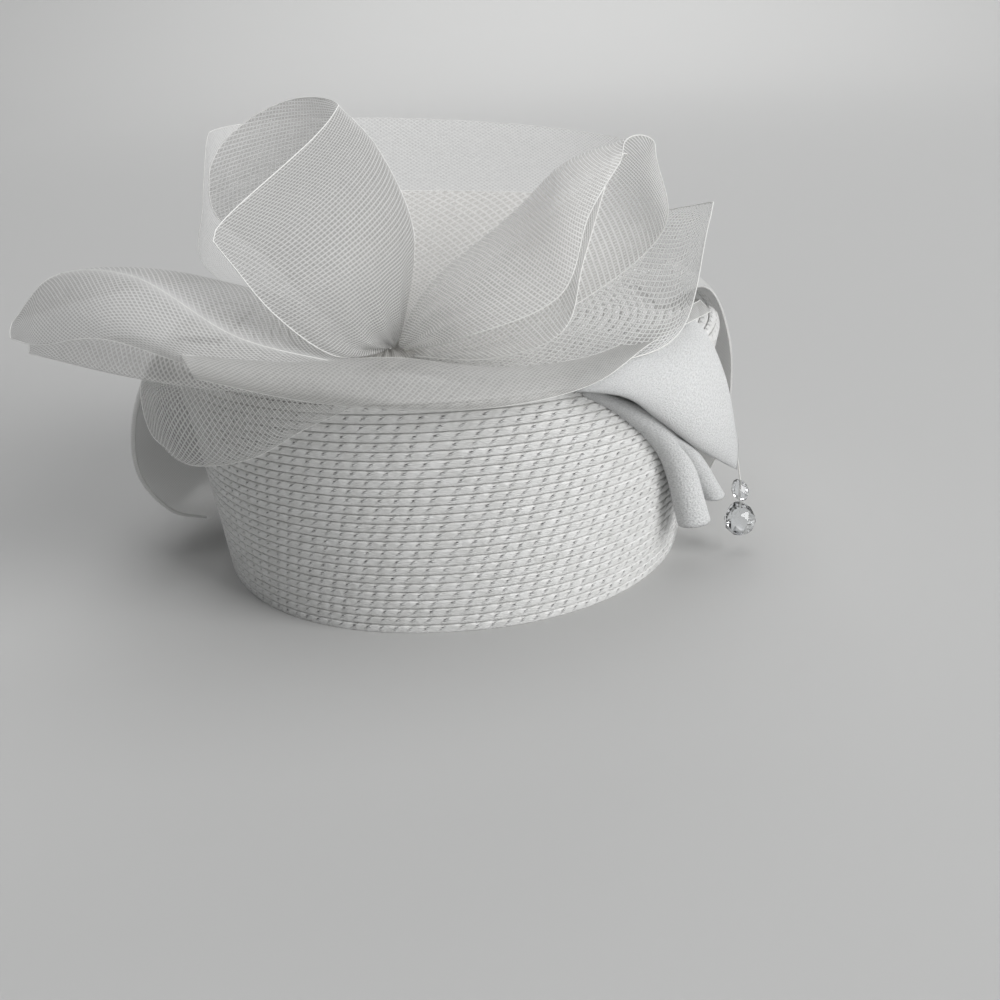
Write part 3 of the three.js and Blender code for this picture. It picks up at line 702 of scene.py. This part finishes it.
# %% Tables
CLOTHS = {
    "petal_upper_left": {
        "flat": (102, 108),
        "gather": (1.1, 9, 0.55),
        "band": 3,
        "tip": (0.6, 0.12),
        "crease": 0.3,
        "net": "upright",
        "slot": "crinoline",
        "columns": ["middle", "half", "bow"],
        "rows": [
            [[-12, -71, 87], [1, -3, 0], [-2, -1, 0]],
            [[-8, -66, 98], [4, -20, -2], [-24, -6, -6]],
            [[-4, -62, 120], [6, -32, -3], [-45, -6, -12]],
            [[-14, -52, 145], [8, -32, -3], [-48, -14, -22]],
            [[-25, -45, 157], [2, -32, -11], [-40, -15, -15]],
        ],
    },
    "petal_upper_right": {
        "flat": (100, 110),
        "gather": (1.1, 9, 0.5),
        "band": 2,
        "tip": (0.3, 0.04),
        "wrap": 230,
        "net": "folded",
        "slot": "crinoline",
        "columns": ["middle", "half", "bow"],
        "rows": [
            [[-11, -71, 87], [0, -3, 1], [1, -2, -1]],
            [[0, -60, 102], [-2, -18, 6], [8, -15, -9]],
            [[25, -51, 120], [-6, -24, 6], [13, -18, -14]],
            [[49, -49, 136], [-15, -21, 6], [9, -12, -11]],
            [[66, -56, 144], [-6, -10, 1], [0, -4, -3]],
        ],
    },
    "petal_upper_right_ply": {
        "flat": (40, 92),
        "gather": (0.6, 4, 0.4),
        "net": "folded",
        "slot": "crinoline",
        "columns": ["middle", "half", "bow"],
        "rows": [
            [[-11, -74, 85], [0, -2, 0], [0, 0, 0]],
            [[12, -78, 92], [7, -14, -5], [0, 2, -1]],
            [[35, -76, 106], [5, -19, -10], [-1, 2, -2]],
            [[50, -68, 122], [-3, -18, -9], [-1, 1, -1]],
            [[60, -60, 139], [-3, -6, 0], [0, 0, -1]],
        ],
    },
    "petal_right": {
        "flat": (75, 105),
        "gather": (0.7, 6, 0.35),
        "tip": (0.3, 0.05),
        "net": "open",
        "slot": "crinoline",
        "columns": ["middle", "half", "bow"],
        "rows": [
            [[-10, -72, 82], [0, -2, 0], [0, 0, 0]],
            [[15, -68, 83], [3, -28, -2], [0, -2, 1]],
            [[45, -60, 89], [2, -34, -9], [0, 0, 3]],
            [[72, -57, 100], [1, -25, -14], [1, 2, 1]],
            [[89, -54, 120], [-1, -3, -2], [0, 0, 0]],
        ],
    },
    "petal_left": {
        "flat": (66, 108),
        "band": 4,
        "edge": 0.12 * MM,
        "crease": 0.3,
        "net": "bias",
        "slot": "crinoline",
        "columns": ["middle", "half", "bow"],
        "rows": [
            [[-26, -94, 88], [-2, -12, 0], [0, 4, -1]],
            [[-54, -100, 99], [-9, -22, -4], [6, 10, -3]],
            [[-86, -86, 116], [-9, -27, -2], [3, 9, -12]],
            [[-112, -77, 115], [-5, -18, -3], [3, 1, -13]],
            [[-123, -84, 104], [-1, -4, -2], [1, 0, -2]],
        ],
    },
    "petal_left_ply": {
        "flat": (14, 93),
        "edge": 0.12 * MM,
        "net": "bias",
        "slot": "crinoline",
        "columns": ["middle", "half", "bow"],
        "rows": [
            [[-32, -96, 81.2], [0, -4, 0], [0, 0, 0]],
            [[-62, -104, 90], [-1, -3, -5], [1, 4, 0]],
            [[-90, -97, 94], [-2, -2, -5], [1, 4, 0]],
            [[-119, -86, 96], [0, -1, -1], [0, 0, 0]],
        ],
    },
    "ribbon_front": {
        "flat": (28, 168),
        "edge": 0.12 * MM,
        "net": "sash",
        "slot": "crinoline",
        "columns": ["middle", "half", "bow"],
        "rows": [
            [[-66, -116, 96], [2, -2, -3], [0, 2, -1]],
            [[-38, -115, 91], [2, -6, -4], [0, 5, -3]],
            [[-10, -115, 88], [2, -17, -3], [0, 12, -4]],
            [[20, -114, 86], [1, -9, -3], [0, 4, -3]],
            [[45, -101, 84], [1, -7, -2], [0, 2, -1]],
            [[66, -76, 86], [1, -5, 0], [0, 0, 0]],
            [[86, -60, 91], [1, -4, -1], [0, 0, 0]],
        ],
    },
    "petal_lower_left": {
        "flat": (28, 92),
        "tip": (0.5, 0.12),
        "on_crown": True,
        "net": "hanging",
        "slot": "crinoline",
        "columns": ["middle", "half", "bow"],
        "rows": [
            [[-102, 82, 2], [0, -4, -1], [0, 0, 0]],
            [[-113, 79, 4], [1, -5, -6], [2, 3, 0]],
            [[-126, 73, 8], [3, -6, -11], [3, 3, 0]],
            [[-140, 68, 14], [3, -5, -12], [3, 2, 0]],
            [[-155, 66, 14], [2, -5, -10], [3, 1, 0]],
        ],
    },
    "petal_back_low": {
        "flat": (64, 88),
        "gather": (0.8, 6, 0.4),
        "tip": (0.3, 0.1),
        "edge": 0.12 * MM,
        "net": "cloudy",
        "slot": "crinoline",
        "columns": ["middle", "half", "bow"],
        "rows": [
            [[-13, -69, 86], [2, 0, 0], [0, 0, 0]],
            [[-10, -46, 89], [6, 0, 0], [0, -4, 0]],
            [[-3, -20, 98], [25, 0, -4], [0, -9, -1]],
            [[10, 6, 122], [42, 0, -3], [2, -12, 0]],
        ],
    },
    "petal_back_high": {
        "flat": (180, 95),
        "tip": (0.12, 0.2),
        "edge": 0.09 * MM,
        "net": "milky",
        "slot": "crinoline",
        "columns": ["middle", "half", "bow"],
        "rows": [
            [[-2, -6, 79], [32, 0, 0], [0, -14, 0]],
            [[-5, 24, 97], [78, 0, -4], [0, -24, 2]],
            [[-5, 38, 119], [81, 2, -4], [4, -28, -1]],
            [[-5, 48, 144], [79, 3, -7], [5, -30, -6]],
        ],
    },
    "drape_panel": {
        "flat": (50, 85),
        "on_crown": True,
        "slot": "crepe",
        "columns": ["middle", "half", "bow"],
        "rows": [
            [[-66, 82, -2], [-5, -10, -1], [0, 2, -1]],
            [[-52, 82, -1], [-8, -20, -4], [-1, 4, -2]],
            [[-41, 76, 3], [-9, -22, -9], [-4, 7, -2]],
            [[-31, 58, 9], [-6, -14, -9], [-3, 4, -1]],
            [[-23, 36, 16], [-1, -4, -3], [0, 0, 0]],
        ],
    },
    "drape_pleat_inner": {
        "flat": (20, 82),
        "wrap": 250,
        "on_crown": True,
        "slot": "crepe",
        "columns": ["middle", "half", "bow"],
        "rows": [
            [[-66, 78, 2], [2, 0, 0], [0, 1, -1]],
            [[-55, 67, 4], [4, 2, 0], [-1, 3, -1]],
            [[-42, 47, 7], [4, 3, 0], [-2, 4, -1]],
            [[-34, 18, 13], [5, 3, 0], [-2, 4, 0]],
        ],
    },
    "drape_pleat_outer": {
        "flat": (17, 58),
        "wrap": 250,
        "on_crown": True,
        "slot": "crepe",
        "columns": ["middle", "half", "bow"],
        "rows": [
            [[-50, 60, 4], [3, 2, 0], [-1, 2, -1]],
            [[-40, 47, 8], [4, 3, -1], [-2, 4, 0]],
            [[-28, 24, 15], [3, 3, 0], [-2, 3, 0]],
        ],
    },
    "organza_left": {
        "flat": (55, 130),
        "on_crown": True,
        "slot": "organza",
        "columns": ["middle", "half", "bow"],
        "rows": [
            [[180, 81, -22], [2, 24, 0], [0, 0, 0]],
            [[180, 82, -2], [2, 26, 0], [4, 0, 0]],
            [[180, 58, 18], [3, 26, 1], [6, 0, 2]],
            [[180, 32, 24], [4, 25, 1], [6, 0, 3]],
            [[180, 15, 16], [3, 24, 0], [4, 0, 4]],
            [[180, 11, 2], [2, 23, 0], [0, 0, 4]],
        ],
    },
    "organza_right": {
        "flat": (48, 125),
        "on_crown": True,
        "slot": "organza",
        "columns": ["middle", "half", "bow"],
        "rows": [
            [[4, 81, -24], [-2, 22, 0], [0, 0, 0]],
            [[4, 87, -6], [-2, 24, 0], [-2, 0, 0]],
            [[4, 68, 6], [-2, 24, 0], [-3, 0, 0]],
            [[4, 36, 12], [-2, 24, 0], [-3, 0, 1]],
            [[4, 16, 8], [-2, 23, 0], [-2, 0, 2]],
            [[4, 13, 1], [-1, 22, 0], [0, 0, 3]],
        ],
    },
}
print("cloths:", len(CLOTHS))

# %% [markdown]
# ## The bow
# Ten crinoline pieces make the bow: two upright petals, their neighbours, the flat one at the left, the
# ribbon across the front and the two that stand behind. Each is bent from its table and edged with the
# thin cord that crinoline braid has along both selvages.

# %% Bow
SELVAGE_RADIUS = 0.19 * MM
FOLD_RADIUS = 0.13 * MM
for name, cloth in CLOTHS.items():
    if cloth["slot"] != "crinoline":
        continue
    sheet = bend_cloth(name + "_net", cloth, NETS[cloth["net"]])
    cords = [selvage_cord(name + "_selvage", edge_lines(sheet), cloth.get("edge", SELVAGE_RADIUS))]
    if "band" in cloth:
        cords.append(selvage_cord(name + "_fold", [crease_line(sheet)], FOLD_RADIUS))
    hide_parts(name)
    print_share(name, sheet, cloth)

# %% [markdown]
# ## The gather
# All the strips are drawn together by a thread and sewn down. From above this is a small dark pit with
# fine pleats that run into it like spokes. The pit is a trumpet of crinoline net: a grid is wrapped once
# round, its profile is a smooth curve, and a sine wave folds it. Its net is painted darker than the
# petals' nets, as painted shade in the pit. The thread is wound below it.

# %% Gather throat
THROAT = (-13.5, -72, 86.4)
THROAT_PROFILE = [(0.4, -5.5), (0.9, -2.6), (2.4, -0.6), (5.0, 0.4), (8.0, 0.0), (10.5, -1.6)]
THROAT_PLEATS = 19
THROAT_PLEAT_HEIGHT = 0.45
THROAT_AROUND = 228
THROAT_ALONG = 24
THROAT_FLAT = (75, 13)
THROAT_SWAY = 2.5          # how unevenly the pleats are spaced

shape = bmesh.new()
uv_layer = shape.loops.layers.uv.new("cloth")
bmesh.ops.create_grid(shape, x_segments=THROAT_AROUND, y_segments=THROAT_ALONG, size=0.5)
steps = {vert: (vert.co.x + 0.5, vert.co.y + 0.5) for vert in shape.verts}
for face in shape.faces:
    for loop in face.loops:
        turn, step = steps[loop.vert]
        loop[uv_layer].uv = (turn * THROAT_FLAT[0], step * THROAT_FLAT[1])
profile = [Vector((radius, 0, height)) for radius, height in THROAT_PROFILE]
for vert, (turn, step) in steps.items():
    spot = curve_point(profile, step)
    angle = 2 * math.pi * turn
    pleat = THROAT_PLEAT_HEIGHT * math.sin(THROAT_PLEATS * angle + THROAT_SWAY * math.sin(3 * angle))
    spot.z += pleat * min(1, 3 * step)
    vert.co = place(THROAT[0] + spot.x * math.cos(angle), THROAT[1] + spot.x * math.sin(angle),
                    THROAT[2] + spot.z)
bmesh.ops.remove_doubles(shape, verts=shape.verts, dist=0.000001)
# painted shade: a darker haze and darker threads stand for the shade in the pit
gathered_painted_shade = crinoline("crinoline_gathered_net_painted_shade", (0, 0.9), (90, 1.2), 0.9, 1.0, 0.4, "#b3b1ad", "#d9d8d5")
throat = finish_piece("bow_gather_throat", shape, gathered_painted_shade)
print("throat:", len(throat.data.polygons), "faces")

# %% Wound thread of the tie
TIE_TURNS = 5
TIE_RADIUS = 2.2
TIE_START = 0.6            # how high over the crown the winding starts
TIE_RISE = 0.66            # how far it climbs in one turn
THREAD_RADIUS = 0.35 * MM
STEPS_PER_TURN = 24
winding = []
for step in range(TIE_TURNS * STEPS_PER_TURN + 1):
    angle = 2 * math.pi * step / STEPS_PER_TURN
    winding.append(place(THROAT[0] + TIE_RADIUS * math.cos(angle), THROAT[1] + TIE_RADIUS * math.sin(angle),
                         CROWN_HEIGHT + TIE_START + TIE_RISE * step / STEPS_PER_TURN))
thread_white, tree = new_material("polyester_sewing_thread")
where = add_node(tree, "ShaderNodeTexCoord").outputs["Object"]
twist = add_node(tree, "ShaderNodeTexNoise", {"Vector": where, "Scale": 2500, "Detail": 2})
bump = add_node(tree, "ShaderNodeBump", {"Height": twist.outputs["Fac"], "Strength": 0.5, "Distance": 0.0001})
tone = add_node(tree, "ShaderNodeMix", {
    "Factor": twist.outputs["Fac"], 6: linear("#d2d1cd"), 7: linear("#f2f1ee")}, data_type="RGBA")
surface = add_node(tree, "ShaderNodeBsdfPrincipled", {
    "Base Color": tone.outputs[2], "Roughness": 0.55, "Normal": bump.outputs[0]})
add_node(tree, "ShaderNodeOutputMaterial", {"Surface": surface.outputs[0]})
tie = selvage_cord("gather_tie_thread", [winding], THREAD_RADIUS, thread_white)
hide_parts("gather_tie")
print("tie:", TIE_TURNS, "turns")

# %% [markdown]
# ## Organza loops
# Organza is a fine, crisp, sheer weave. It shows as a smooth grey veil with a faint silky sheen where it
# turns away, because light then meets more threads. Two loops of it hang from the crown's
# shoulders, one at each side.

# %% Organza
ORGANZA_COVER = 0.72            # how much of the light a single layer stops
HEM_RADIUS = 0.3 * MM
organza, tree = new_material("silk_organza")
uv = add_node(tree, "ShaderNodeUVMap", uv_map="cloth").outputs["UV"]
warp = thread_lines(tree, uv, 0, 0.9, 0.3)
weft = thread_lines(tree, uv, 90, 0.9, 0.3)
weave = add_node(tree, "ShaderNodeMath", {0: warp, 1: weft}, operation="MAXIMUM").outputs[0]
alpha = add_node(tree, "ShaderNodeMath", {0: weave, 1: 0.08, 2: ORGANZA_COVER},
                 operation="MULTIPLY_ADD").outputs[0]
surface = add_node(tree, "ShaderNodeBsdfPrincipled", {
    "Base Color": linear("#cfcfcd"), "Roughness": 0.4, "IOR": 1.5, "Sheen Weight": 0.4, "Alpha": alpha})
add_node(tree, "ShaderNodeOutputMaterial", {"Surface": surface.outputs[0]})

for name in ("organza_left", "organza_right"):
    cloth = CLOTHS[name]
    sheet = bend_cloth(name + "_veil", cloth, organza)
    hem = selvage_cord(name + "_hem", edge_lines(sheet)[:2], HEM_RADIUS, organza)
    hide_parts(name)
    print_share(name, sheet, cloth)

# %% [markdown]
# ## Crepe drape
# Crepe is woven from hard-twisted yarn, which gives a matt, pebbly face that scatters light. A panel of
# it spreads over the crown's right shoulder and gathers towards the drop, and two rounded pleats lie in
# front of it. The pebbles are drawn in bump at half a millimetre, a little coarser than real ones.

# %% Crepe
crepe, tree = new_material("polyester_crepe")
uv = add_node(tree, "ShaderNodeUVMap", uv_map="cloth").outputs["UV"]
pebbles = add_node(tree, "ShaderNodeTexNoise", {"Vector": uv, "Scale": 1.5, "Detail": 3, "Roughness": 0.7})
bump = add_node(tree, "ShaderNodeBump", {
    "Height": pebbles.outputs["Fac"], "Strength": 1.0, "Distance": 0.0008})
pits = add_node(tree, "ShaderNodeMapRange", {
    "Value": pebbles.outputs["Fac"], "From Min": 0.35, "From Max": 0.6})
tone = add_node(tree, "ShaderNodeMix", {
    "Factor": pits.outputs[0], 6: linear("#c9caca"), 7: linear("#eaebeb")}, data_type="RGBA")
surface = add_node(tree, "ShaderNodeBsdfPrincipled", {
    "Base Color": tone.outputs[2], "Roughness": 0.85, "Sheen Weight": 0.3, "Sheen Roughness": 0.5,
    "Specular IOR Level": 0.25, "Normal": bump.outputs[0]})
add_node(tree, "ShaderNodeOutputMaterial", {"Surface": surface.outputs[0]})

CREPE_THICKNESS = 0.7 * MM

for name in ("drape_panel", "drape_pleat_inner", "drape_pleat_outer"):
    cloth = CLOTHS[name]
    sheet = bend_cloth(name + "_crepe", cloth, crepe)
    wall = sheet.modifiers.new("cloth_thickness", "SOLIDIFY")
    wall.thickness = CREPE_THICKNESS
    wall.offset = 0
    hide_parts(name)
    print_share(name, sheet, cloth)

# %% [markdown]
# ## The drop
# A faceted bead and a faceted teardrop of clear cut glass hang at the end of the drape on a thin thread.
# A cutter grinds rows of flat facets, each row turned by half a facet against the last. Rings of points
# set in that way and wrapped in their convex hull give just those facets. They are kept flat shaded.

# %% Cut glass
GLASS_INDEX = 1.54
glass, tree = new_material("cut_crystal_glass")
where = add_node(tree, "ShaderNodeTexCoord").outputs["Object"]
wear = add_node(tree, "ShaderNodeTexNoise", {"Vector": where, "Scale": 900, "Detail": 2})
dull = add_node(tree, "ShaderNodeMapRange", {
    "Value": wear.outputs["Fac"], "From Min": 0.4, "From Max": 0.8, "To Min": 0.0, "To Max": 0.06})
surface = add_node(tree, "ShaderNodeBsdfPrincipled", {
    "Base Color": linear("#fbfdff"), "Roughness": dull.outputs[0], "IOR": GLASS_INDEX,
    "Transmission Weight": 1.0})
add_node(tree, "ShaderNodeOutputMaterial", {"Surface": surface.outputs[0]})


def cut_glass(name, node, rings, sides, tilt):
    """A faceted stone that stands for a node: rings are (radius, height from the middle) in mm."""
    low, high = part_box(node)
    middle = (low + high) / 2
    shape = bmesh.new()
    for number, (radius, height) in enumerate(rings):
        ring = bmesh.ops.create_circle(shape, segments=sides, radius=max(radius, 0.05) * MM)["verts"]
        turn = Matrix.Rotation(math.pi / sides * (number % 2), 4, "Z")
        bmesh.ops.transform(shape, matrix=Matrix.Translation((0, 0, height * MM)) @ turn, verts=ring)
    bmesh.ops.convex_hull(shape, input=shape.verts)
    for vert in [vert for vert in shape.verts if not vert.link_faces]:
        shape.verts.remove(vert)
    lean = Matrix.Rotation(math.radians(tilt), 4, "Y")
    bmesh.ops.transform(shape, matrix=Matrix.Translation(middle) @ lean, verts=shape.verts)
    bmesh.ops.recalc_face_normals(shape, faces=shape.faces)
    stone = finish_piece(name, shape, glass)
    stone.data.shade_flat()
    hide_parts(node)
    print(name, "-", len(stone.data.polygons), "facets")


BEAD_RINGS = [(0.9, -3.9), (2.2, -2.6), (2.8, -0.8), (2.8, 0.8), (2.2, 2.6), (0.9, 3.9)]
TEARDROP_RINGS = [(0.2, -6.4), (3.4, -5.0), (5.3, -2.4), (5.5, 0.4), (4.3, 3.2), (2.2, 5.4), (0.9, 6.3)]
cut_glass("drop_bead_glass", "drop_bead", BEAD_RINGS, 7, -22)
cut_glass("drop_crystal_glass", "drop_crystal", TEARDROP_RINGS, 8, -10)

# %% Thread of the drop
DROP_THREAD_RADIUS = 0.22 * MM
DRAPE_TIP = (98.8, -49.2, 36)   # lowest corner of the drape's panel, where the drop is sewn on
pin_low, pin_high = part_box("drop_pin")
hang = (pin_low + pin_high) / 2
hanger = [Vector((hang.x, hang.y, pin_low.z)), Vector((hang.x, hang.y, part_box("drop_bead")[1].z)),
          place(*DRAPE_TIP)]
drop_thread = selvage_cord("drop_thread", [hanger], DROP_THREAD_RADIUS, thread_white)
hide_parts("drop_pin")
print("drop hangs", round((pin_high.z - pin_low.z) / MM, 1), "mm long")
